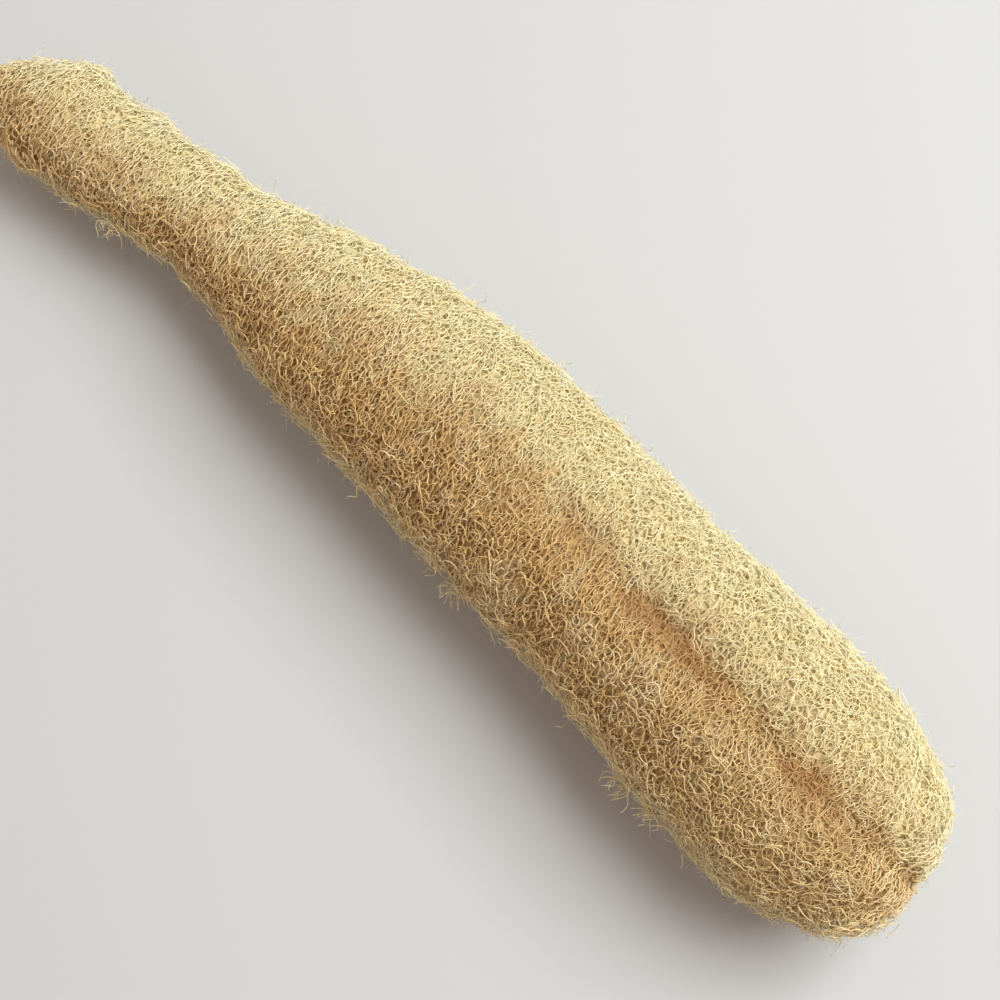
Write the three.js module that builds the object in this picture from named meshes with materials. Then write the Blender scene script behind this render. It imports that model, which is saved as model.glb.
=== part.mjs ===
// A whole natural loofah sponge: the dried fibre skeleton of a gourd, grown in one piece.
// It lies on its belly along X, stem end at -X and blossom end at +X, with +Z up. Lengths are in millimetres.
// Its skin is one closed surface of irregular net cells. Each cell is a shallow pit, and the sides it shares
// with its neighbours stand up as the strands of a raised net.

import * as THREE from 'three';
import { ConvexHull } from 'three/addons/math/ConvexHull.js';
import { SimplexNoise } from 'three/addons/math/SimplexNoise.js';

// Driving dimensions
const LENGTH = 400;
const STEM_RADIUS = 22.6;
const WAIST_RADIUS = 19;
const SHOULDER_RADIUS = 33.3;
const MIDDLE_RADIUS = 37.6;
const BELLY_RADIUS = 40.9;

// Girth along the length, as [distance from the stem tip, radius]
const GIRTH = [
  [0, 0],
  [1.5, 6.5],
  [7, 11.6],
  [14, 17.7],
  [21, STEM_RADIUS],
  [26, 21.8],
  [34, 20.2],
  [50, 20.1],
  [76, WAIST_RADIUS],
  [99, 21.3],
  [130, 28.4],
  [160, SHOULDER_RADIUS],
  [205, 36.8],
  [260, MIDDLE_RADIUS],
  [322, BELLY_RADIUS],
  [356, 40.4],
  [377, 35],
  [392, 26.4],
  [398.5, 15.5],
  [LENGTH, 0],
];

// Centre line, at even steps from the stem tip to the blossom tip
const SIDEWAYS_BOW = [-10.2, 0.3, 4.1, -1.7, -7.5];
const HEIGHT = [26.5, 30, 33.4, 37, 41];

// Long furrows where the three seed chambers join, and faint ribs between them
const SEAMS = 3;
const SEAM_ANGLE = THREE.MathUtils.degToRad(94);
const SEAM_DEPTH = 3.4;
const SEAM_WIDTH = THREE.MathUtils.degToRad(8);
const SEAM_START = 180;
const SEAM_FULL = 300;
const RIBS = 9;
const RIB_RISE = 0.7;
const RIB_AT_STEM = 0.4;
const TWIST = THREE.MathUtils.degToRad(9);
const UNTWISTED_AT = 0.7 * LENGTH;

// Lumps of the fibre mat
const LUMP_RISE = 1.1;
const LUMP_SIZE = 34;
const KNOT_RISE = 0.3;
const KNOT_SIZE = 13;

// Raised net. The jitter is a share of the cells' pitch, the reach a share of the way to a cell's middle.
const CELLS = 745;
const CELL_JITTER = 0.33;
const NET_RISE = 1.2;
const NET_UNEVEN = 0.2;
const PIT_DEPTH = 1;
const STRAND_SLOPE = 2.6;
const SLOPE_REACH = 0.6;

const SEED = 7;
const MERIDIAN_STEPS = 4000;
const GOLDEN_ANGLE = Math.PI * (3 - Math.sqrt(5));
const LEAST_RADIUS = 0.2;

// Mulberry32, so that every build gives the same net
function seededRandom(seed) {
  let state = seed;
  return () => {
    state = (state + 0x6d2b79f5) | 0;
    let mixed = Math.imul(state ^ (state >>> 15), 1 | state);
    mixed = (mixed + Math.imul(mixed ^ (mixed >>> 7), 61 | mixed)) ^ mixed;
    return ((mixed ^ (mixed >>> 14)) >>> 0) / 2 ** 32;
  };
}

const random = seededRandom(SEED);
const noise = new SimplexNoise({ random });
const either = (size) => (2 * random() - 1) * size;

const outline = new THREE.CatmullRomCurve3(
  GIRTH.map(([x, radius]) => new THREE.Vector3(x, radius, 0)),
  false,
  'centripetal',
);

// Smooth value through even steps along the length
function alongLength(values) {
  const step = LENGTH / (values.length - 1);
  const curve = new THREE.SplineCurve(values.map((value, i) => new THREE.Vector2(i * step, value)));
  return (x) => curve.getPoint(THREE.MathUtils.clamp(x / LENGTH, 0, 1)).y;
}

const centreY = alongLength(SIDEWAYS_BOW);
const centreZ = alongLength(HEIGHT);

// The outline in small steps, each with its outward direction, the skin's area so far, and a stretch: the
// length over radius added up, which with the angle makes a flat map of the skin that keeps angles true.
function walkOutline() {
  const points = outline.getSpacedPoints(MERIDIAN_STEPS);
  const steps = [];
  let area = 0;
  let stretch = 0;
  for (let i = 0; i < MERIDIAN_STEPS; i++) {
    const middle = points[i].clone().add(points[i + 1]).multiplyScalar(0.5);
    const along = points[i + 1].clone().sub(points[i]);
    const size = along.length();
    along.normalize();
    area += 2 * Math.PI * middle.y * size;
    stretch += size / middle.y;
    steps.push({ x: middle.x, radius: middle.y, outX: -along.y, outRadius: along.x, area, stretch });
  }
  const half = stretch / 2;
  for (const step of steps) step.stretch -= half;
  return steps;
}

const steps = walkOutline();

// The place on the outline where a growing quantity, such as area or stretch, reaches a value
function outlineWhere(key, value) {
  let low = 0;
  let high = steps.length - 1;
  while (high - low > 1) {
    const middle = (low + high) >> 1;
    if (steps[middle][key] < value) low = middle;
    else high = middle;
  }
  const a = steps[low];
  const b = steps[high];
  const share = THREE.MathUtils.clamp((value - a[key]) / (b[key] - a[key]), 0, 1);
  const blended = {};
  for (const name of Object.keys(a)) blended[name] = THREE.MathUtils.lerp(a[name], b[name], share);
  return blended;
}

// How far furrows, ribs and lumps lift the skin there
function formLift({ x, radius }, angle) {
  const turned = angle - SEAM_ANGLE - (TWIST * (x - UNTWISTED_AT)) / LENGTH;
  const spacing = (2 * Math.PI) / SEAMS;
  const fromSeam = turned - spacing * Math.round(turned / spacing);
  const fade = THREE.MathUtils.smoothstep(x, SEAM_START, SEAM_FULL);
  const seam = -SEAM_DEPTH * fade * Math.exp(-0.5 * (fromSeam / SEAM_WIDTH) ** 2);
  const rib = -RIB_RISE * THREE.MathUtils.lerp(RIB_AT_STEM, 1, fade) * Math.cos(RIBS * turned);
  const y = radius * Math.cos(angle);
  const z = radius * Math.sin(angle);
  const lump = LUMP_RISE * noise.noise3d(x / LUMP_SIZE, y / LUMP_SIZE, z / LUMP_SIZE);
  const knot = KNOT_RISE * noise.noise3d(x / KNOT_SIZE, y / KNOT_SIZE, z / KNOT_SIZE);
  return (seam + rib) * Math.min(1, radius / STEM_RADIUS) + lump + knot;
}

// A point of the skin, from the flat map's stretch and angle. The soft belly is pressed flat at z = 0, where
// the sponge lies on the surface.
function skinPoint({ stretch, angle }, netLift) {
  const place = outlineWhere('stretch', stretch);
  const lift = formLift(place, angle) + netLift;
  const x = place.x + lift * place.outX;
  const radius = Math.max(LEAST_RADIUS, place.radius + lift * place.outRadius);
  return new THREE.Vector3(
    x,
    centreY(x) + radius * Math.cos(angle),
    Math.max(0, centreZ(x) + radius * Math.sin(angle)),
  );
}

// The middles of the net's cells, spread evenly over the skin on a golden-angle spiral and then shaken
function cellMiddles() {
  const total = steps.at(-1).area;
  const pitch = Math.sqrt(total / CELLS);
  return Array.from({ length: CELLS }, (_, i) => {
    const place = outlineWhere('area', ((i + 0.5) / CELLS) * total);
    const shake = (CELL_JITTER * pitch) / Math.max(place.radius, pitch);
    return { stretch: place.stretch + either(shake), angle: i * GOLDEN_ANGLE + either(shake) };
  });
}

// The flat map rolled onto a unit sphere, where a convex hull joins each cell to its neighbours
function onSphere({ stretch, angle }) {
  const across = 1 / Math.cosh(stretch);
  return new THREE.Vector3(Math.tanh(stretch), across * Math.cos(angle), across * Math.sin(angle));
}

function offSphere(point) {
  return {
    stretch: Math.asinh(point.x / Math.hypot(point.y, point.z)),
    angle: Math.atan2(point.z, point.y),
  };
}

// The corners of the net, one for each face of the hull: its place among the points, and the pit floor below it
function netCorners(hull, points) {
  const corners = new Map();
  for (const face of hull.faces) {
    const centre = new THREE.Vector3();
    for (const i of [0, 1, 2]) centre.add(face.getEdge(i).head().point);
    const place = offSphere(centre);
    corners.set(face, { index: points.length, floor: skinPoint(place, -PIT_DEPTH) });
    points.push(skinPoint(place, NET_RISE + either(NET_UNEVEN)));
  }
  return corners;
}

// The corners round one cell, in turn
function cornersRound(edgeIntoCell, corners) {
  const round = [];
  let edge = edgeIntoCell;
  do {
    round.push(corners.get(edge.face));
    edge = edge.next.twin;
  } while (edge !== edgeIntoCell);
  return round;
}

// The skin: every cell slopes from its crest down to a floor of its own
function netSkin() {
  const cells = cellMiddles().map(onSphere);
  const hull = new ConvexHull().setFromPoints(cells);
  const edgeInto = new Map();
  for (const face of hull.faces) {
    for (const i of [0, 1, 2]) edgeInto.set(face.getEdge(i).head().point, face.getEdge(i));
  }

  const points = [];
  const index = [];
  const corners = netCorners(hull, points);
  for (const cell of cells) {
    const round = cornersRound(edgeInto.get(cell), corners);
    const middle = new THREE.Vector3();
    for (const { floor } of round) middle.addScaledVector(floor, 1 / round.length);

    const first = points.length;
    for (const { floor } of round) {
      const reach = Math.min(SLOPE_REACH, STRAND_SLOPE / floor.distanceTo(middle));
      points.push(floor.clone().lerp(middle, reach));
    }
    round.forEach((corner, i) => {
      const j = (i + 1) % round.length;
      const next = round[j].index;
      index.push(next, corner.index, first + i, next, first + i, first + j);
      if (i > 0 && j > 0) index.push(first, first + j, first + i);
    });
  }

  const skin = new THREE.BufferGeometry().setFromPoints(points);
  skin.setIndex(index);
  return skin;
}

function sponge() {
  const geometry = netSkin();
  geometry.computeBoundingBox();
  const middle = geometry.boundingBox.getCenter(new THREE.Vector3());
  geometry.translate(-middle.x, -middle.y, 0);
  geometry.computeVertexNormals();
  const fibre = new THREE.MeshStandardMaterial({
    color: new THREE.Color(0.86, 0.75, 0.53),
    roughness: 0.85,
    metalness: 0,
    flatShading: true,
  });
  const mesh = new THREE.Mesh(geometry, fibre);
  mesh.name = 'loofah';
  return mesh;
}

const loofah = new THREE.Group();
loofah.add(sponge());

export default loofah;
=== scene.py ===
import math

import bpy
import numpy as np
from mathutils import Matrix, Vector
from mathutils.bvhtree import BVHTree
from mathutils.geometry import delaunay_2d_cdt


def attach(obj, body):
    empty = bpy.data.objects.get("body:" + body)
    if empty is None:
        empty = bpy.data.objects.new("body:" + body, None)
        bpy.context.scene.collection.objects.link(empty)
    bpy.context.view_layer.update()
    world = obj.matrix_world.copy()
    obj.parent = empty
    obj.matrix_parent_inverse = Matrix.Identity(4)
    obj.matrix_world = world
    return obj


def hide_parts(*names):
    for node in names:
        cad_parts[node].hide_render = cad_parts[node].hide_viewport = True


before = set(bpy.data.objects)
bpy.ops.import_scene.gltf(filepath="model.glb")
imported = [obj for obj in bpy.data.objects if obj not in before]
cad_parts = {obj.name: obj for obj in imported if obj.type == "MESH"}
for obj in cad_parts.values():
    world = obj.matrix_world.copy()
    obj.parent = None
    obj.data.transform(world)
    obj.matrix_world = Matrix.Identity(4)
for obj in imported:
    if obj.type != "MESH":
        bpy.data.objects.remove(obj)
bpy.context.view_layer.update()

# Lengths are in metres.
MM = 0.001
TAU = 2 * math.pi
NODE = "loofah"
RNG = np.random.default_rng(20)

# The skin is sampled along rays from a line down the middle. At each end the rays fan out from one point.
STEM_CAP = 17 * MM
BLOSSOM_CAP = 37 * MM
MIDDLE_STATIONS = 60
MIDDLE_SLICE = 7 * MM
MIDDLE_BLUR = 9
SKIN_ROWS = 400
SKIN_COLUMNS = 180
BLUR_ALONG = 3 * MM
BLUR_AROUND = 5 * MM
BLUR_REACH = 3
LEAST_STEP = 1e-6

# The long furrows between the seed chambers, placed as on the solid
SEAM_ANGLES = [math.radians(a) for a in (94, 214, 334)]
SEAM_TWIST = math.radians(9)
TWIST_LENGTH = 0.4
SEAM_TRUE_AT = 80 * MM
SEAM_FROM = -20 * MM
SEAM_FULL_AT = 100 * MM
SEAM_DEPTH = 2.5 * MM
SEAM_WIDTH = math.radians(7)

# The stem end was cut at a slant, which leaves a corner on the side towards +Y.
CORNER_FROM_TIP = 21 * MM
CORNER_WIDTH = 5.5 * MM
CORNER_RISE = 2.6 * MM
CORNER_ANGLE = math.radians(25)
SLANT = 0.38
SLANT_FROM_Y = 10 * MM
SLANT_REACH = 30 * MM

# The dried mat is ruffled all over.
RUFFLE = 0.85 * MM

# The dense mat under the net
MAT_LIFT = -2.0 * MM
MAT_ROWS = 170
MAT_COLUMNS = 84
MAT_LUMPS = 0.5 * MM
MAT_TIP_REACH = 12 * MM
MAT_TIP_SHARE = 0.25
MAT_OFF_FLOOR = 0.3 * MM

# How many times as wide across as long the meshes of the net are. They widen most on the neck, and are
# nearly round again at the blossom end, where the shares are of the whole way along the skin.
WIDENESS_AT_TIP = 1.2
WIDENED_ON_NECK = 1.9
MOST_WIDE = 3.1
NECK_FROM = 8 * MM
NECK_FULL_AT = 45 * MM
NARROWED_AT_BLOSSOM = 1.8
BLOSSOM_FROM_SHARE = 0.4
BLOSSOM_FULL_SHARE = 0.97

# Some meshes have run together into large ones, more of them where the clumps rise. Some strands have broken.
MERGED_SHARE = 0.13
MERGED_SWING = 0.26
BROKEN_SHARE = 0.1
LEAST_IN_ROW = 3
NET_TIP_GAP = 0.2 * MM

# The net is joined up on a flat map of the skin, which runs on past a full turn by the overlap on both sides.
MAP_STEPS = 2000
MAP_LEAST_RADIUS = 1 * MM
OVERLAP = 0.7
SAME_SPOT = 1e-9

# Fibres are drawn straighter where they run on through a knot, and curl between knots that lie far apart.
LONGEST_FIBRE = 24
STRAIGHTENINGS = 2
STRAIGHTENED = 0.45
LONG_STRETCH = 1.3 * MM
CURL_ASIDE = 0.3
CURL_RISE = (-0.15, 0.35)

# A fibre has three sides. Where it is pressed on the floor, its middle stays this share of its radius above.
SIDES = 3
PRESSED = 0.6

# Loose fibres that would run over a tip are left out. The others mostly lie across, and thin out at one end.
TIP_GAP = 0.8 * MM
SCATTER_GAP = 2 * MM
SCATTER_SPARE = 3
LEAST_HEADING_SPREAD = 0.4
HEADING_SPREAD = 0.5
LEAST_STEPS = 3
LEAST_ROUND = 2 * MM
CURL_CHANGE = 0.5
BASE_SPREAD_MM = (-0.4, 0.3)
THINNED = 0.55

# Torn ends stand out in tufts, each at a distance along X and an angle.
TUFTS = [
    (111 * MM, math.radians(183)),
    (124 * MM, math.radians(186)),
    (-139 * MM, math.radians(178)),
    (30 * MM, math.radians(190)),
    (176 * MM, math.radians(118)),
]

# The flank turned away from the window is painted darker and browner, as painted shade, with less of it
# towards the blossom end. Its ragged upper edge comes nearer the top away from the stem.
NECK_END = -130 * MM
BODY_START = -30 * MM
FLANK_AT_STEM = math.radians(102)
FLANK_AT_BODY = math.radians(86)
FADE_AT_STEM = math.radians(90)
FADE_AT_BODY = math.radians(52)
FLANK_WANDER = math.radians(15)
FLANK_ENDS = math.radians(140)
FLANK_GONE = math.radians(215)
FLANK_STRENGTH = 0.9
BLOSSOM_PALER = 0.22
PALER_FROM = 85 * MM
PALEST_AT = 145 * MM

# Stains lie along the furrows, over a slightly wider strip than the furrow itself. The same strip is also
# painted darker all along, as painted shade in the furrows.
STAIN_WIDTH = math.radians(7.5)
STAIN_STRENGTH = 0.9
FURROW_SHADE = 0.75

# The folds that stand highest are painted paler, as a painted highlight.
HIGHLIGHT_FROM = 0.1
HIGHLIGHT_FULL_AT = 1.1
HIGHLIGHT_STRENGTH = 0.25

# The depth layer of a fibre is its height over the skin, in units of this. Strands lower down are painted
# browner by it, as painted shade in the hollows.
HOLLOW_DEPTH = 4 * MM

# Colours of the fibre and of the mat under it, with the painted shade of the hollows, the pores and the flank
# away from the window, and how strongly the patches and flecks show
FIBRE_PATCH_STRENGTH = 0.45
FLECK_STRENGTH = 0.15
MAT_PATCH_STRENGTH = 0.4
PALE = (0.96, 0.915, 0.63, 1)
STRAW = (0.92, 0.805, 0.465, 1)
BROWN_FLECK_AND_HOLLOW_SHADE = (0.69, 0.54, 0.25, 1)
STAIN = (0.60, 0.355, 0.14, 1)
FIBRE_SHADE_TINT = (0.88, 0.655, 0.435, 1)
MAT_SHADE_TINT = (0.62, 0.44, 0.25, 1)
MAT_FIBRE = (0.82, 0.71, 0.40, 1)
MAT_PORE_SHADE = (0.51, 0.39, 0.18, 1)
MAT_PATCH = (0.64, 0.46, 0.20, 1)

# The photograph looks down on the loofah at a slant, from past its blossom end on the shaded side. Its width
# is measured at the loofah, and its centre is the point of the loofah in the middle of the picture.
CAMERA_AZIMUTH = math.radians(43)
CAMERA_ELEVATION = math.radians(80)
CAMERA_LENS = 80
SENSOR_WIDTH = 36
NEAREST_SEEN = 0.01
PHOTO_WIDTH = 0.323
PHOTO_CENTRE = Vector((0.0206, -0.0014, 0.038))

# A plain pale floor, one large soft window and the warm light of the room
FLOOR_SIZE = 3.2
FLOOR_COLOUR = (0.565, 0.578, 0.585, 1)
WINDOW_DIRECTION = (0.45, 0.79, 1.5)
WINDOW_DISTANCE = 1.8
WINDOW_SIZE = 1.2
WINDOW_POWER = 36.6
WINDOW_COLOUR = (0.95, 1.0, 1.0)
ROOM_COLOUR = (1.0, 0.81, 0.71, 1)
ROOM_STRENGTH = 0.47


def waves(count, shortest, longest):
    """A seamless, lumpy pattern in space from -1 to 1: crossing waves of random direction."""
    ways = RNG.normal(size=(count, 3))
    ways /= np.linalg.norm(ways, axis=1, keepdims=True)
    ways *= (TAU / RNG.uniform(shortest, longest, count))[:, None]
    shifts = RNG.uniform(0, TAU, count)
    return lambda points: np.clip(np.sin(points @ ways.T + shifts).sum(axis=-1) / math.sqrt(count * 2), -1, 1)


CLUMPS = waves(14, shortest=7 * MM, longest=18 * MM)
FOLDS = waves(16, shortest=16 * MM, longest=40 * MM)


def smooth_step(value, low, high):
    t = np.clip((value - low) / (high - low), 0, 1)
    return t * t * (3 - 2 * t)


def bell(value, width):
    """1 at nought, and 0 well past the width on both sides."""
    return np.exp(-0.5 * (value / width) ** 2)


def unit(vectors):
    return vectors / np.maximum(np.linalg.norm(vectors, axis=-1, keepdims=True), LEAST_STEP)


def run_starts(lengths):
    """Where each run begins when runs of these lengths follow one another."""
    return np.concatenate([[0], np.cumsum(lengths)[:-1]])


def corners_and_tree(node):
    """The corners of a CAD solid, and a tree that finds where a ray leaves it."""
    mesh = node.data
    points = np.empty(len(mesh.vertices) * 3)
    mesh.vertices.foreach_get("co", points)
    points = points.reshape(-1, 3)
    mesh.calc_loop_triangles()
    triangles = [tuple(t.vertices) for t in mesh.loop_triangles]
    return points, BVHTree.FromPolygons([tuple(p) for p in points], triangles)


def middle_line(points, start, end):
    """The line down the middle of the solid: stations along X, and Y and Z at each."""
    stations = np.linspace(start, end, MIDDLE_STATIONS)
    middles = []
    for x in stations:
        ring = points[np.abs(points[:, 0] - x) < MIDDLE_SLICE]
        middles.append((ring[:, 1:].min(axis=0) + ring[:, 1:].max(axis=0)) / 2)
    middles = np.array(middles)
    kernel = np.ones(MIDDLE_BLUR) / MIDDLE_BLUR
    for axis in (0, 1):
        padded = np.pad(middles[:, axis], MIDDLE_BLUR // 2, mode="edge")
        middles[:, axis] = np.convolve(padded, kernel, mode="valid")
    return stations, middles


class Skin:
    """The loofah's smooth skin, read off the CAD solid: a table over the way along and the way round."""

    def __init__(self, node):
        points, tree = corners_and_tree(node)
        low, high = points[:, 0].min(), points[:, 0].max()
        start, end = low + STEM_CAP, high - BLOSSOM_CAP
        self.stations, self.middles = middle_line(points, start, end)
        centre, aim, angle, step = self.rays(start, end)
        reach = self.blurred(self.reached(tree, centre, aim), step)

        place = centre[:, None, :] + aim * reach[..., None]
        furrows = self.seam_nearness(place[..., 0], angle[None, :])
        corner = bell(place[..., 0] - low - CORNER_FROM_TIP, CORNER_WIDTH)
        corner = corner * (1 + np.cos(angle - CORNER_ANGLE)) / 2
        lift = RUFFLE * FOLDS(place) + CORNER_RISE * corner - SEAM_DEPTH * furrows
        place += aim * lift[..., None]
        past_corner = np.maximum(0, SLANT_FROM_Y - place[..., 1])
        near_tip = 1 - smooth_step(place[..., 0], low, low + SLANT_REACH)
        place[..., 0] -= SLANT * past_corner * near_tip
        self.place = place

        along = np.gradient(place, axis=0)
        around = (np.roll(place, -1, axis=1) - np.roll(place, 1, axis=1)) / 2
        self.outward = self.outward_ways(along, around, aim)
        steps = np.linalg.norm(np.diff(place, axis=0), axis=2).mean(axis=1)
        self.arc = np.concatenate([[0], np.cumsum(steps)])
        self.radius = np.linalg.norm(around, axis=2).sum(axis=1) / TAU
        self.length = self.arc[-1]

    def rays(self, start, end):
        """Where the rays start and which way they point, the angles of the columns, and the rows' spacing."""
        stem_arc = STEM_CAP * math.pi / 2
        blossom_arc = BLOSSOM_CAP * math.pi / 2
        whole = stem_arc + (end - start) + blossom_arc
        way = np.linspace(0, whole, SKIN_ROWS)
        x = np.clip(start + way - stem_arc, start, end)
        tilt = np.where(way < stem_arc, (way / stem_arc - 1) * math.pi / 2, 0)
        past = way - stem_arc - (end - start)
        tilt = np.where(past > 0, past / blossom_arc * math.pi / 2, tilt)
        y = np.interp(x, self.stations, self.middles[:, 0])
        z = np.interp(x, self.stations, self.middles[:, 1])
        centre = np.stack([x, y, z], axis=1)

        angle = np.arange(SKIN_COLUMNS) * TAU / SKIN_COLUMNS
        aim = np.empty((SKIN_ROWS, SKIN_COLUMNS, 3))
        aim[..., 0] = np.sin(tilt)[:, None]
        aim[..., 1] = np.cos(tilt)[:, None] * np.cos(angle)
        aim[..., 2] = np.cos(tilt)[:, None] * np.sin(angle)
        return centre, aim, angle, whole / (SKIN_ROWS - 1)

    @staticmethod
    def reached(tree, centre, aim):
        """How far each ray goes before it leaves the solid."""
        reach = np.empty(aim.shape[:2])
        for i, row in enumerate(aim):
            origin = Vector(centre[i])
            for j, way in enumerate(row):
                reach[i, j] = tree.ray_cast(origin, Vector(way))[3]
        return reach

    @staticmethod
    def blurred(reach, step):
        """Evens out the coarse net of the solid but keeps its lumps and furrows."""
        spread = np.arange(-BLUR_REACH * BLUR_ALONG, BLUR_REACH * BLUR_ALONG + step, step)
        kernel = bell(spread, BLUR_ALONG)
        kernel /= kernel.sum()
        side = len(kernel) // 2
        padded = np.pad(reach, ((side, side), (0, 0)), mode="reflect")
        columns = [np.convolve(column, kernel, mode="valid")[:len(reach)] for column in padded.T]
        along = np.stack(columns, axis=1)
        spectrum = np.fft.rfft(along, axis=1)
        count = np.arange(spectrum.shape[1])
        turn = BLUR_AROUND / along.mean(axis=1, keepdims=True)
        return np.fft.irfft(spectrum * np.exp(-0.5 * (count * turn) ** 2), n=reach.shape[1], axis=1)

    @staticmethod
    def outward_ways(along, around, aim):
        """The way out of the skin at each place. At the very tips it is the way of the ray."""
        normal = np.cross(around, along)
        size = np.linalg.norm(normal, axis=2, keepdims=True)
        normal = np.where(size > LEAST_STEP ** 2, normal / np.maximum(size, LEAST_STEP ** 2), aim)
        outward = normal * np.sign(np.sum(normal * aim, axis=2, keepdims=True))
        outward[[0, -1]] = aim[[0, -1]]
        return outward

    @staticmethod
    def seam_nearness(x, angle, width=SEAM_WIDTH):
        """1 in the bottom of a furrow, 0 away from it."""
        twisted = angle - SEAM_TWIST * (x - SEAM_TRUE_AT) / TWIST_LENGTH
        near = 0
        for seam in SEAM_ANGLES:
            off = (twisted - seam + math.pi) % TAU - math.pi
            near = near + bell(off, width)
        return near * smooth_step(x, SEAM_FROM, SEAM_FULL_AT)

    def table(self, values, arc, angle):
        """Reads a table between its rows and columns."""
        row = np.interp(arc, self.arc, np.arange(SKIN_ROWS))
        i = np.clip(row.astype(int), 0, SKIN_ROWS - 2)
        down = (row - i)[..., None]
        column = (angle % TAU) / TAU * SKIN_COLUMNS
        j = column.astype(int)
        side = (column - j)[..., None]
        j = j % SKIN_COLUMNS
        k = (j + 1) % SKIN_COLUMNS
        first = values[i, j] * (1 - side) + values[i, k] * side
        second = values[i + 1, j] * (1 - side) + values[i + 1, k] * side
        return first * (1 - down) + second * down

    def at(self, arc, angle, lift):
        """Points at a height over the skin, and the way out there."""
        out = self.table(self.outward, arc, angle)
        out /= np.linalg.norm(out, axis=-1, keepdims=True)
        return self.table(self.place, arc, angle) + out * np.asarray(lift)[..., None], out

    def ground(self, arc, angle):
        return self.at(arc, angle, np.zeros(np.shape(arc)))[0]

    def angle_of(self, points):
        """The angle round the middle line: 0 towards +Y, a quarter turn at the top, a half towards -Y."""
        x = points[:, 0]
        y = points[:, 1] - np.interp(x, self.stations, self.middles[:, 0])
        z = points[:, 2] - np.interp(x, self.stations, self.middles[:, 1])
        return np.arctan2(z, y) % TAU

    def radius_at(self, arc):
        return np.interp(arc, self.arc, self.radius)


def mesh_wideness(skin, arc):
    """How many times as wide across the loofah as long a mesh is, at a place along the skin."""
    on_neck = smooth_step(arc, NECK_FROM, NECK_FULL_AT)
    to_blossom = smooth_step(arc / skin.length, BLOSSOM_FROM_SHARE, BLOSSOM_FULL_SHARE)
    return WIDENESS_AT_TIP + WIDENED_ON_NECK * on_neck - NARROWED_AT_BLOSSOM * to_blossom


def mesh_middles(skin, along, across, jitter):
    """The middles of a net's meshes: rows round the skin, shaken, with some left out."""
    arcs, angles = [], []
    arc = along(0) / 2
    row = 0
    while arc < skin.length:
        step = along(arc)
        count = max(LEAST_IN_ROW, round(TAU * skin.radius_at(arc) / across(arc)))
        shaken = np.arange(count) + 0.5 * (row % 2) + RNG.uniform(-0.5, 0.5, count) * jitter
        moved = arc + RNG.uniform(-0.5, 0.5, count) * jitter * step
        angles.append((shaken * TAU / count) % TAU)
        arcs.append(np.clip(moved, NET_TIP_GAP, skin.length - NET_TIP_GAP))
        arc += step
        row += 1
    arcs = np.concatenate(arcs)
    angles = np.concatenate(angles)
    merged = MERGED_SHARE + MERGED_SWING * CLUMPS(skin.ground(arcs, angles))
    kept = RNG.uniform(0, 1, len(arcs)) > merged
    return arcs[kept], angles[kept]


def flattened(skin, along, across, arcs):
    """How far along each place lies on a flat map on which the meshes look round."""
    ways = np.linspace(0, skin.length, MAP_STEPS)
    sizes = np.array([across(w) / along(w) for w in ways])
    slope = sizes / np.maximum(skin.radius_at(ways), MAP_LEAST_RADIUS)
    flat = np.concatenate([[0], np.cumsum((slope[1:] + slope[:-1]) / 2 * np.diff(ways))])
    return np.interp(arcs, ways, flat)


def net_graph(skin, along, across, jitter):
    """An irregular net laid round the skin: where its knots are, and which knots each strand joins.

    along and across give a mesh's size at a place along the skin. The knots are where three meshes meet.
    """
    arcs, angles = mesh_middles(skin, along, across, jitter)
    flats = flattened(skin, along, across, arcs)
    total = len(arcs)

    left = np.nonzero(angles < OVERLAP)[0]
    right = np.nonzero(angles > TAU - OVERLAP)[0]
    own = np.concatenate([np.arange(total), left, right])
    turned = np.concatenate([angles, angles[left] + TAU, angles[right] - TAU])
    spots = [Vector(p) for p in np.stack([flats[own], turned], axis=1)]
    _, _, faces, _, _, _ = delaunay_2d_cdt(spots, [], [], 0, SAME_SPOT)
    faces = np.array([f for f in faces if len(f) == 3])

    knot_angle = turned[faces].mean(axis=1)
    once = (knot_angle >= 0) & (knot_angle < TAU)
    faces = faces[once]
    knot_angle = knot_angle[once]
    knot_arc = arcs[own[faces]].mean(axis=1)
    strands = strands_between(own[faces], total)
    strands = strands[RNG.uniform(0, 1, len(strands)) > BROKEN_SHARE]
    return knot_arc, knot_angle, strands[strands[:, 0] != strands[:, 1]]


def strands_between(faces, total):
    """A strand for every two faces with a side in common, as the faces' numbers."""
    sides = np.concatenate([faces[:, [a, b]] for a, b in ((0, 1), (1, 2), (2, 0))])
    sides.sort(axis=1)
    key = sides[:, 0] * total + sides[:, 1]
    of_face = np.tile(np.arange(len(faces)), 3)
    order = np.argsort(key, kind="stable")
    same = key[order][1:] == key[order][:-1]
    return np.stack([of_face[order][:-1][same], of_face[order][1:][same]], axis=1)


def straightest(points, strands):
    """Each knot's neighbours, and the two of them between which a fibre runs on most nearly straight."""
    neighbours = [[] for _ in points]
    for a, b in strands:
        neighbours[a].append(b)
        neighbours[b].append(a)
    through = {}
    for knot, around in enumerate(neighbours):
        if len(around) < 2:
            continue
        ways = [points[n] - points[knot] for n in around]
        ways = [w / max(np.linalg.norm(w), LEAST_STEP) for w in ways]
        best = min(((float(np.dot(ways[i], ways[j])), i, j)
                    for i in range(len(around)) for j in range(i + 1, len(around))))
        through[knot] = (around[best[1]], around[best[2]])
    return neighbours, through


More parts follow.
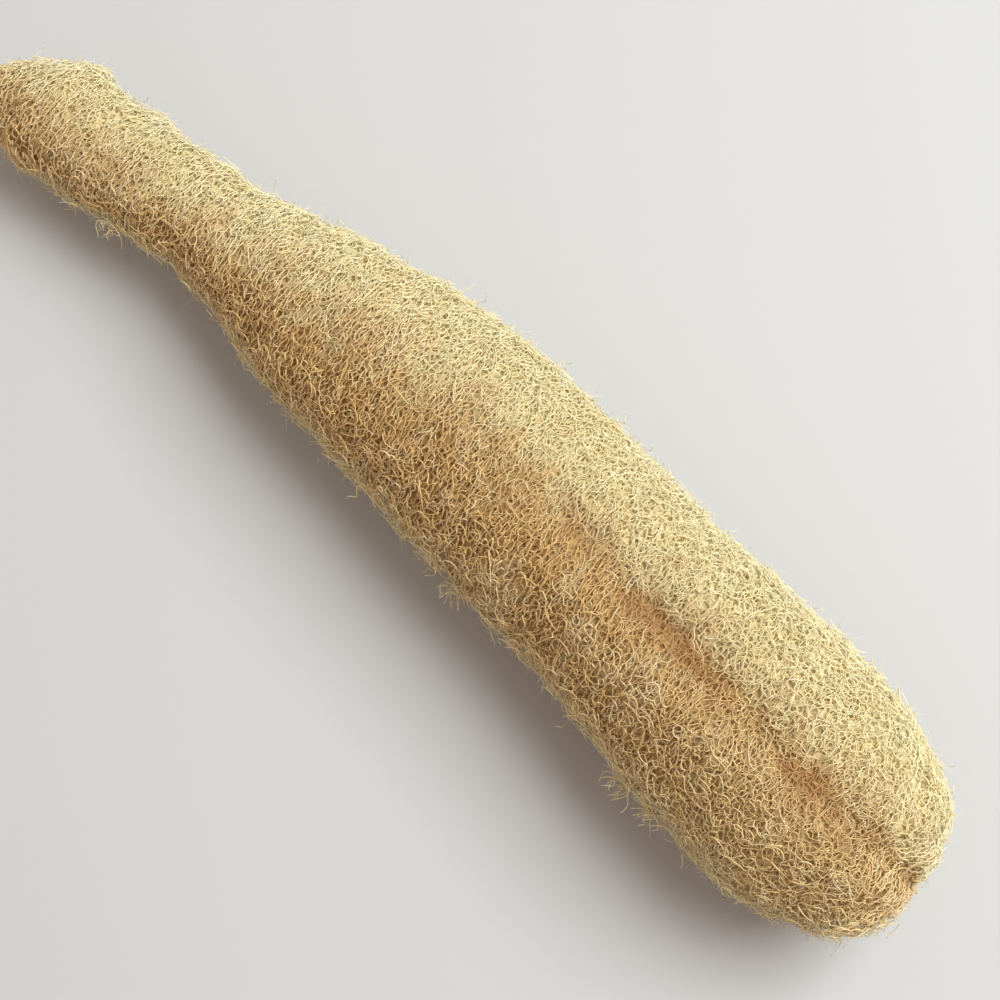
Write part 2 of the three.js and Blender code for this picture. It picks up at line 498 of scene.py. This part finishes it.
def fibres_through(neighbours, through):
    """Follows the net's strands into long fibres, each a list of knots."""
    used = set()
    fibres = []

    def follow(before, knot):
        fibre = [before, knot]
        used.add((min(before, knot), max(before, knot)))
        while len(fibre) < LONGEST_FIBRE:
            pair = through.get(knot)
            if not pair or before not in pair:
                break
            after = pair[0] if pair[1] == before else pair[1]
            side = (min(knot, after), max(knot, after))
            if side in used:
                break
            used.add(side)
            fibre.append(after)
            before, knot = knot, after
        return fibre

    for only_ends in (True, False):
        for knot, around in enumerate(neighbours):
            for other in around:
                side = (min(knot, other), max(knot, other))
                if side in used or (only_ends and other in through.get(knot, ())):
                    continue
                fibres.append(follow(knot, other))
    return fibres


def bent(points, out, heights, thick, tone, starts):
    """Puts a point in the middle of every long stretch, moved a little aside, so that the fibres curl."""
    count = len(points)
    is_end = np.zeros(count, bool)
    is_end[np.append(starts[1:], count) - 1] = True
    span = np.linalg.norm(np.roll(points, -1, axis=0) - points, axis=1)
    long = ~is_end & (span > LONG_STRETCH)
    going = np.nonzero(long)[0]
    stretch = points[going + 1] - points[going]
    size = np.linalg.norm(stretch, axis=1, keepdims=True)
    aside = np.cross(stretch, out[going]) * RNG.uniform(-CURL_ASIDE, CURL_ASIDE, (len(going), 1))
    rise = out[going] * size * RNG.uniform(*CURL_RISE, (len(going), 1))
    added = (points[going] + points[going + 1]) / 2 + aside + rise
    place = np.arange(count) + run_starts(long)
    total = count + len(going)
    result = []
    for values, between in (
        (points, added),
        (out, (out[going] + out[going + 1]) / 2),
        (heights, (heights[going] + heights[going + 1]) / 2),
        (thick, thick[going]),
        (tone, tone[going]),
    ):
        grown = np.empty((total,) + values.shape[1:])
        grown[place] = values
        grown[place[going] + 1] = between
        result.append(grown)
    return (*result, place[starts])


def skin_colouring(points, skin):
    """How stained the loofah is at each point, and how much painted shade and painted highlight it takes
    there, from 0 to 1.
    """
    x = points[:, 0]
    angle = skin.angle_of(points)
    past_neck = smooth_step(x, NECK_END, BODY_START)
    edge = FLANK_AT_STEM + (FLANK_AT_BODY - FLANK_AT_STEM) * past_neck
    half = (FADE_AT_STEM + (FADE_AT_BODY - FADE_AT_STEM) * past_neck) / 2
    wandering = angle + (CLUMPS(points) + FOLDS(points)) * FLANK_WANDER
    strength = FLANK_STRENGTH - BLOSSOM_PALER * smooth_step(x, PALER_FROM, PALEST_AT)
    # Painted shade on the flank turned away from the window
    painted_shade = strength * smooth_step(wandering, edge - half, edge + half)
    painted_shade = painted_shade * (1 - smooth_step(angle, FLANK_ENDS, FLANK_GONE))
    # The furrows carry the stains and a painted shade.
    furrow = skin.seam_nearness(x, angle, STAIN_WIDTH)
    # Painted highlight on the highest folds
    painted_highlight = smooth_step(FOLDS(points) + 0.5 * CLUMPS(points), HIGHLIGHT_FROM, HIGHLIGHT_FULL_AT)
    return {"stain": furrow, "painted_shade": np.maximum(painted_shade, FURROW_SHADE * furrow), "painted_highlight": painted_highlight * (1 - furrow)}


def write_layers(mesh, layers):
    for label, values in layers.items():
        layer = mesh.attributes.new(label, "FLOAT", "POINT")
        layer.data.foreach_set("value", np.asarray(values, np.float32))


def fill_mesh(mesh, points, quads, triangles):
    mesh.vertices.add(len(points))
    mesh.vertices.foreach_set("co", points.astype(np.float32).ravel())
    corners = np.concatenate([quads.ravel(), triangles.ravel()])
    mesh.loops.add(len(corners))
    mesh.loops.foreach_set("vertex_index", corners.astype(np.int32))
    quad_starts = np.arange(len(quads)) * 4
    triangle_starts = len(quads) * 4 + np.arange(len(triangles)) * 3
    polygon_starts = np.concatenate([quad_starts, triangle_starts])
    mesh.polygons.add(len(polygon_starts))
    mesh.polygons.foreach_set("loop_start", polygon_starts.astype(np.int32))
    mesh.polygons.foreach_set("use_smooth", np.ones(len(polygon_starts), bool))


def tube_mesh(name, points, out, radius, tone, depth, starts, skin):
    """Closed tubes of three sides, one for each run of points. starts holds where each run begins."""
    count = len(points)
    ends = np.append(starts[1:], count) - 1
    is_start = np.zeros(count, bool)
    is_start[starts] = True
    is_end = np.zeros(count, bool)
    is_end[ends] = True
    before = np.where(is_start, np.arange(count), np.arange(count) - 1)
    after = np.where(is_end, np.arange(count), np.arange(count) + 1)
    tangent = unit(points[after] - points[before])
    side = unit(np.cross(tangent, out))
    up = np.cross(side, tangent)

    ring = []
    for k in range(SIDES):
        a = math.pi / 2 + k * TAU / SIDES
        ring.append(points + radius[:, None] * (math.cos(a) * side + math.sin(a) * up))
    verts = np.stack(ring, axis=1).reshape(-1, 3)

    first = np.nonzero(~is_end)[0] * SIDES
    quads = []
    for k in range(SIDES):
        n = (k + 1) % SIDES
        quads.append(np.stack([first + k, first + SIDES + k, first + SIDES + n, first + n], axis=1))
    lids = np.concatenate([
        np.stack([starts * SIDES + k for k in range(SIDES)], axis=1),
        np.stack([ends * SIDES + k for k in reversed(range(SIDES))], axis=1),
    ])

    mesh = bpy.data.meshes.new(name)
    fill_mesh(mesh, verts, np.concatenate(quads), lids)
    colouring = {"tone": tone, "depth": depth, **skin_colouring(points, skin)}
    write_layers(mesh, {label: np.repeat(values, SIDES) for label, values in colouring.items()})
    mesh.update(calc_edges=True)
    mesh.validate()
    return mesh


def add_piece(name, mesh, material):
    piece = bpy.data.objects.new(name, mesh)
    bpy.context.scene.collection.objects.link(piece)
    mesh.materials.append(material)
    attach(piece, "root")
    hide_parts(NODE)
    return piece


def lay_net(name, skin, material, mesh_size, jitter, height, unevenness, clumping, thickness, parts):
    """One layer of the net, as pieces of about equal size."""
    arc, angle, strands = net_graph(
        skin,
        lambda a: mesh_size / math.sqrt(mesh_wideness(skin, a)),
        lambda a: mesh_size * math.sqrt(mesh_wideness(skin, a)),
        jitter,
    )
    lift = height + RNG.uniform(-1, 1, len(arc)) * unevenness + CLUMPS(skin.ground(arc, angle)) * clumping
    points, out = skin.at(arc, angle, lift)
    neighbours, through = straightest(points, strands.tolist())
    knots = np.array(sorted(through))
    pair = np.array([through[k] for k in knots])
    for _ in range(STRAIGHTENINGS):
        middle = (points[pair[:, 0]] + points[pair[:, 1]]) / 2
        points[knots] += STRAIGHTENED * (middle - points[knots])
    fibres = fibres_through(neighbours, through)
    order = np.argsort([points[f[0]][0] for f in fibres])
    for part, group in enumerate(np.array_split(order, parts)):
        chosen = [fibres[i] for i in group]
        lengths = np.array([len(f) for f in chosen])
        flat = np.concatenate(chosen)
        tone = np.repeat(RNG.uniform(0, 1, len(chosen)), lengths)
        thick = np.repeat(RNG.uniform(*thickness, len(chosen)), lengths) / 2
        run, way_out, depth, thick, tone, starts = bent(
            points[flat], out[flat], lift[flat] / HOLLOW_DEPTH, thick, tone, run_starts(lengths))
        run[:, 2] = np.maximum(run[:, 2], thick * PRESSED)
        piece_name = f"{name}_{part + 1}"
        add_piece(piece_name, tube_mesh(piece_name, run, way_out, thick, tone, depth, starts, skin), material)


def scattered(skin, count):
    """Places spread evenly over the whole skin."""
    arc = np.sort(RNG.uniform(SCATTER_GAP, skin.length - SCATTER_GAP, count * SCATTER_SPARE))
    accept = RNG.uniform(0, 1, len(arc)) < skin.radius_at(arc) / skin.radius.max()
    arc = arc[accept]
    arc = arc[np.sort(RNG.permutation(len(arc))[:count])]
    return arc, RNG.uniform(0, TAU, len(arc))


def in_tufts(skin, tufts, count, spread):
    """Places crowded together in a few tufts, each given by its distance along X and its angle."""
    arcs = np.interp([x for x, _ in tufts], skin.place[..., 0].mean(axis=1), skin.arc)
    arc = np.repeat(arcs, count) + RNG.normal(0, spread, len(tufts) * count)
    angle = np.repeat([a for _, a in tufts], count) + RNG.normal(0, spread, len(arc)) / skin.radius_at(arc)
    return arc, angle


def loose_fibres(name, skin, material, places, length, step, height, curl, rise, thickness):
    """Free fibres that wander over the skin, with an end or a loop that stands off it."""
    arc, angle = places
    count = len(arc)
    across = np.where(RNG.uniform(0, 1, count) < 0.5, math.pi / 2, -math.pi / 2)
    spread = LEAST_HEADING_SPREAD + HEADING_SPREAD * (MOST_WIDE - mesh_wideness(skin, arc))
    heading = across + RNG.normal(0, 1, count) * spread
    steps = np.maximum(LEAST_STEPS, np.round(RNG.uniform(*length, count) / step)).astype(int)
    turn = RNG.normal(0, curl, count)
    climb = RNG.uniform(*rise, count)
    base = height + RNG.uniform(*BASE_SPREAD_MM, count) * MM + CLUMPS(skin.ground(arc, angle)) * MM

    most = steps.max() + 1
    ways = np.empty((count, most))
    paths = np.empty((count, most, 3))
    outs = np.empty((count, most, 3))
    for i in range(most):
        lift = base + climb * (i / steps) ** 2
        ways[:, i] = arc
        paths[:, i], outs[:, i] = skin.at(np.clip(arc, 0, skin.length), angle, lift)
        turn = turn + RNG.normal(0, curl * CURL_CHANGE, count)
        heading = heading + turn
        arc = arc + step * np.cos(heading)
        angle = angle + step * np.sin(heading) / np.maximum(skin.radius_at(arc), LEAST_ROUND)

    mask = np.arange(most)[None, :] <= steps[:, None]
    on_skin = ((ways > TIP_GAP) & (ways < skin.length - TIP_GAP) | ~mask).all(axis=1)
    mask, paths, outs, steps = mask[on_skin], paths[on_skin], outs[on_skin], steps[on_skin]
    thick = RNG.uniform(*thickness, len(steps)) / 2
    taper = 1 - THINNED * (np.arange(most)[None, :] / steps[:, None]) ** 2
    radius = (thick[:, None] * taper)[mask]
    tone = np.repeat(RNG.uniform(0, 1, len(steps)), steps + 1)
    points = paths[mask]
    points[:, 2] = np.maximum(points[:, 2], radius)
    depth = np.full(len(points), height / HOLLOW_DEPTH)
    mesh = tube_mesh(name, points, outs[mask], radius, tone, depth, run_starts(steps + 1), skin)
    add_piece(name, mesh, material)


def mat_mesh(name, skin):
    """The closed surface of the dense fibre mat that shows in the gaps of the net."""
    arc = np.linspace(0, skin.length, MAT_ROWS)[1:-1]
    angle = np.arange(MAT_COLUMNS) * TAU / MAT_COLUMNS
    grid_arc, grid_angle = np.meshgrid(arc, angle, indexing="ij")
    from_tip = np.minimum(grid_arc, skin.length - grid_arc)
    near_tip = 1 - (1 - MAT_TIP_SHARE) * (1 - smooth_step(from_tip, 0, MAT_TIP_REACH))
    lumps = CLUMPS(skin.ground(grid_arc, grid_angle)) * MAT_LUMPS
    points, _ = skin.at(grid_arc, grid_angle, MAT_LIFT * near_tip + lumps)
    tips, _ = skin.at(np.array([0, skin.length]), np.zeros(2), np.full(2, MAT_LIFT * MAT_TIP_SHARE))
    verts = np.concatenate([points.reshape(-1, 3), tips])
    verts[:, 2] = np.maximum(verts[:, 2], MAT_OFF_FLOOR)

    stem_tip = len(verts) - 2
    blossom_tip = len(verts) - 1
    last = stem_tip - MAT_COLUMNS
    around = [(j, (j + 1) % MAT_COLUMNS) for j in range(MAT_COLUMNS)]
    faces = []
    for row in range(0, last, MAT_COLUMNS):
        below = row + MAT_COLUMNS
        faces += [(row + j, row + k, below + k, below + j) for j, k in around]
    for j, k in around:
        faces.append((stem_tip, k, j))
        faces.append((blossom_tip, last + j, last + k))
    mesh = bpy.data.meshes.new(name)
    mesh.from_pydata([tuple(v) for v in verts], [], faces)
    mesh.polygons.foreach_set("use_smooth", np.ones(len(mesh.polygons), bool))
    write_layers(mesh, skin_colouring(verts, skin))
    mesh.update()
    return mesh


def feed(tree, socket, value):
    """Links another node to a socket, or sets the socket to a plain value."""
    if isinstance(value, bpy.types.NodeSocket):
        tree.links.new(value, socket)
    else:
        socket.default_value = value


def mix_colour(tree, factor, first, second, blend="MIX"):
    node = tree.nodes.new("ShaderNodeMix")
    node.data_type = "RGBA"
    node.blend_type = blend
    feed(tree, node.inputs[0], factor)
    feed(tree, node.inputs[6], first)
    feed(tree, node.inputs[7], second)
    return node.outputs[2]


def multiply(tree, first, second):
    node = tree.nodes.new("ShaderNodeMath")
    node.operation = "MULTIPLY"
    feed(tree, node.inputs[0], first)
    feed(tree, node.inputs[1], second)
    return node.outputs[0]


def ramp(tree, value, low, high):
    node = tree.nodes.new("ShaderNodeMapRange")
    node.interpolation_type = "SMOOTHSTEP"
    feed(tree, node.inputs["Value"], value)
    node.inputs["From Min"].default_value = low
    node.inputs["From Max"].default_value = high
    return node.outputs["Result"]


def noise(tree, coordinates, scale):
    node = tree.nodes.new("ShaderNodeTexNoise")
    node.inputs["Scale"].default_value = scale
    node.inputs["Detail"].default_value = 2.0
    tree.links.new(coordinates, node.inputs["Vector"])
    return node.outputs["Fac"]


def attribute(tree, name):
    node = tree.nodes.new("ShaderNodeAttribute")
    node.attribute_name = name
    return node.outputs["Fac"]


def bumped(tree, height, strength, distance, invert=False):
    node = tree.nodes.new("ShaderNodeBump")
    node.invert = invert
    node.inputs["Strength"].default_value = strength
    node.inputs["Distance"].default_value = distance
    tree.links.new(height, node.inputs["Height"])
    return node.outputs["Normal"]


def new_material(name, roughness):
    """A material of one roughness, with its node tree and its shader."""
    material = bpy.data.materials.new(name)
    material.use_nodes = True
    shader = material.node_tree.nodes["Principled BSDF"]
    shader.inputs["Roughness"].default_value = roughness
    return material, material.node_tree, shader


def weathered(tree, place, colour, painted_shade, shade_tint):
    """Painted shade on one flank and in the furrows, painted highlights on the raised folds, and the stains
    of the furrows, over a colour.
    """
    painted_shading = mix_colour(tree, painted_shade, colour, shade_tint, "MULTIPLY")
    painted_highlight = mix_colour(tree, multiply(tree, attribute(tree, "painted_highlight"), HIGHLIGHT_STRENGTH), painted_shading, PALE)
    spots = ramp(tree, noise(tree, place, scale=55), low=0.43, high=0.6)
    stained = multiply(tree, multiply(tree, attribute(tree, "stain"), spots), STAIN_STRENGTH)
    return mix_colour(tree, stained, painted_highlight, STAIN)


def fibre_material():
    """Dry straw-coloured fibre: each strand has its own tone. Strands in the hollows are painted browner, and
    the flank away from the window darker, as painted shade.
    """
    material, tree, shader = new_material("straw_fibre", roughness=0.62)
    place = tree.nodes.new("ShaderNodeTexCoord").outputs["Object"]
    tone = attribute(tree, "tone")
    pale = mix_colour(tree, ramp(tree, tone, low=0.0, high=1.0), STRAW, PALE)
    patch = ramp(tree, noise(tree, place, scale=28), low=0.4, high=0.75)
    mottled = mix_colour(tree, multiply(tree, patch, FIBRE_PATCH_STRENGTH), pale, STRAW)
    # Painted shade: strands lower in the hollows are browner.
    hollow_shade = mix_colour(tree, ramp(tree, attribute(tree, "depth"), low=0.0, high=-0.9), mottled, BROWN_FLECK_AND_HOLLOW_SHADE)
    fleck = ramp(tree, noise(tree, place, scale=420), low=0.5, high=0.75)
    flecked = mix_colour(tree, multiply(tree, fleck, FLECK_STRENGTH), hollow_shade, BROWN_FLECK_AND_HOLLOW_SHADE)
    # The palest strands take less of the painted shade.
    kept_pale = ramp(tree, tone, low=0.55, high=1.15)
    painted_shading = multiply(tree, attribute(tree, "painted_shade"), ramp(tree, kept_pale, low=1.6, high=0.0))
    feed(tree, shader.inputs["Base Color"], weathered(tree, place, flecked, painted_shading, FIBRE_SHADE_TINT))
    grain = noise(tree, place, scale=2600)
    feed(tree, shader.inputs["Normal"], bumped(tree, grain, strength=0.35, distance=0.1 * MM))
    return material


def mat_material():
    """The matted fibre under the net: fine crossing fibres, with the pores between them painted dark as
    painted shade.
    """
    material, tree, shader = new_material("matted_fibre", roughness=0.9)
    place = tree.nodes.new("ShaderNodeTexCoord").outputs["Object"]
    cells = tree.nodes.new("ShaderNodeTexVoronoi")
    cells.feature = "DISTANCE_TO_EDGE"
    cells.inputs["Scale"].default_value = 430
    tree.links.new(place, cells.inputs["Vector"])
    pore = ramp(tree, cells.outputs["Distance"], low=0.08, high=0.3)
    colour = mix_colour(tree, pore, MAT_FIBRE, MAT_PORE_SHADE)
    patch = ramp(tree, noise(tree, place, scale=60), low=0.35, high=0.7)
    mottled = mix_colour(tree, multiply(tree, patch, MAT_PATCH_STRENGTH), colour, MAT_PATCH)
    # Painted shade of the flank away from the window and of the furrows
    painted_shade = attribute(tree, "painted_shade")
    feed(tree, shader.inputs["Base Color"], weathered(tree, place, mottled, painted_shade, MAT_SHADE_TINT))
    feed(tree, shader.inputs["Normal"], bumped(tree, pore, strength=1.0, distance=0.8 * MM, invert=True))
    return material


def floor_material():
    material, _, shader = new_material("pale_floor", roughness=0.75)
    shader.inputs["Base Color"].default_value = FLOOR_COLOUR
    return material


def build_loofah(skin):
    fibre = fibre_material()
    add_piece("fibre_mat", mat_mesh("fibre_mat", skin), mat_material())
    lay_net(
        "net_inner", skin, fibre,
        mesh_size=2.7 * MM,
        jitter=1.2,
        height=-0.9 * MM,
        unevenness=0.5 * MM,
        clumping=0.6 * MM,
        thickness=(0.42 * MM, 0.62 * MM),
        parts=2,
    )
    lay_net(
        "net_outer", skin, fibre,
        mesh_size=2.8 * MM,
        jitter=1.3,
        height=-0.1 * MM,
        unevenness=0.7 * MM,
        clumping=1.0 * MM,
        thickness=(0.38 * MM, 0.6 * MM),
        parts=2,
    )
    loose_fibres(
        "loose_fibres", skin, fibre, scattered(skin, count=4500),
        length=(4 * MM, 11 * MM),
        step=1.2 * MM,
        height=0.4 * MM,
        curl=0.27,
        rise=(-0.4 * MM, 1.8 * MM),
        thickness=(0.34 * MM, 0.58 * MM),
    )
    loose_fibres(
        "fuzz", skin, fibre, scattered(skin, count=4300),
        length=(2.5 * MM, 7 * MM),
        step=1.2 * MM,
        height=0.2 * MM,
        curl=0.28,
        rise=(1.0 * MM, 3.6 * MM),
        thickness=(0.14 * MM, 0.26 * MM),
    )
    loose_fibres(
        "strays", skin, fibre, scattered(skin, count=260),
        length=(6 * MM, 15 * MM),
        step=1.0 * MM,
        height=0.4 * MM,
        curl=0.5,
        rise=(2.0 * MM, 6.5 * MM),
        thickness=(0.28 * MM, 0.46 * MM),
    )
    loose_fibres(
        "tufts", skin, fibre, in_tufts(skin, TUFTS, count=14, spread=1.2 * MM),
        length=(6 * MM, 11 * MM),
        step=0.8 * MM,
        height=0.4 * MM,
        curl=0.5,
        rise=(3.0 * MM, 7.0 * MM),
        thickness=(0.34 * MM, 0.56 * MM),
    )


def place_camera():
    back = Vector((
        math.sin(CAMERA_AZIMUTH) * math.cos(CAMERA_ELEVATION),
        -math.cos(CAMERA_AZIMUTH) * math.cos(CAMERA_ELEVATION),
        math.sin(CAMERA_ELEVATION),
    ))
    data = bpy.data.cameras.new("camera")
    data.lens = CAMERA_LENS
    data.sensor_width = SENSOR_WIDTH
    data.clip_start = NEAREST_SEEN
    camera = bpy.data.objects.new("camera", data)
    distance = PHOTO_WIDTH * CAMERA_LENS / SENSOR_WIDTH
    camera.location = PHOTO_CENTRE + back * distance
    camera.rotation_euler = (-back).to_track_quat("-Z", "Y").to_euler()
    bpy.context.scene.collection.objects.link(camera)
    bpy.context.scene.camera = camera


def lay_floor():
    bpy.ops.object.select_all(action="DESELECT")
    bpy.ops.mesh.primitive_plane_add(size=FLOOR_SIZE)
    floor = bpy.context.active_object
    floor.name = "floor"
    floor.data.materials.append(floor_material())


def light_window():
    """One large soft window, high up on the +Y side."""
    data = bpy.data.lights.new("window", "AREA")
    data.shape = "SQUARE"
    data.size = WINDOW_SIZE
    data.energy = WINDOW_POWER
    data.color = WINDOW_COLOUR
    window = bpy.data.objects.new("window", data)
    window.location = Vector(WINDOW_DIRECTION).normalized() * WINDOW_DISTANCE
    window.rotation_euler = (-window.location).to_track_quat("-Z", "Y").to_euler()
    bpy.context.scene.collection.objects.link(window)


def light_room():
    """The warm light of the rest of the room."""
    world = bpy.data.worlds.new("room")
    world.use_nodes = True
    background = world.node_tree.nodes["Background"]
    background.inputs["Color"].default_value = ROOM_COLOUR
    background.inputs["Strength"].default_value = ROOM_STRENGTH
    bpy.context.scene.world = world


place_camera()
build_loofah(Skin(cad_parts[NODE]))
lay_floor()
light_window()
light_room()
bpy.context.scene.view_settings.view_transform = "Standard"
